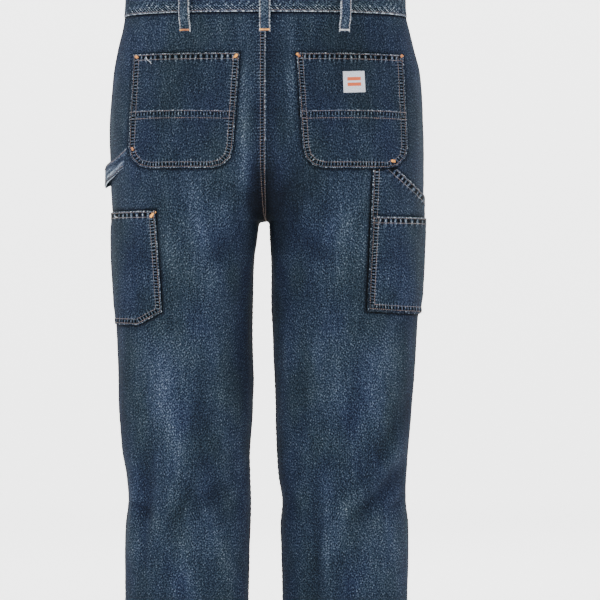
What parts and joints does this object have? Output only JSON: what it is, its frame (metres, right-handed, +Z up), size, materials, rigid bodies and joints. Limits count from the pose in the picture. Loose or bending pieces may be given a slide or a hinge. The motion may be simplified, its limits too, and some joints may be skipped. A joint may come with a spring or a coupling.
{
  "type": "carpenter pants",
  "caption": "Straight-leg denim carpenter pants with patch back pockets, thigh tool pockets, a hammer loop and a button waistband, in a hollow worn form.",
  "frame": {"origin": "centre of the waistband ring, at the band's mid-height at the back", "axes": "+Z up along the body, -Y towards the seat, +Y towards the fly, -X towards the wearer's left"},
  "size_m": [0.4618, 0.2527, 1.1511],
  "materials": {
    "denim": "matt, faded twill",
    "label_cloth": "matt, woven",
    "brass": "dulled"
  },
  "bodies": {
    "root": {"back_left": "denim", "back_right": "denim", "front_left": "denim", "front_right": "denim", "front_pocket_facing_left": "denim", "front_pocket_facing_right": "denim", "waistband": "denim", "belt_loop_back_centre": "denim", "belt_loop_back_left": "denim", "belt_loop_back_right": "denim", "belt_loop_front_left": "denim", "belt_loop_front_right": "denim", "back_pocket_left_upper": "denim", "back_pocket_left_lower": "denim", "back_pocket_right_upper": "denim", "back_pocket_right_lower": "denim", "tool_pocket_left": "denim", "utility_pocket_right": "denim", "tool_pocket_right": "denim", "hammer_loop": "denim", "label": "label_cloth", "waist_button": "brass"}
  },
  "joints": []
}
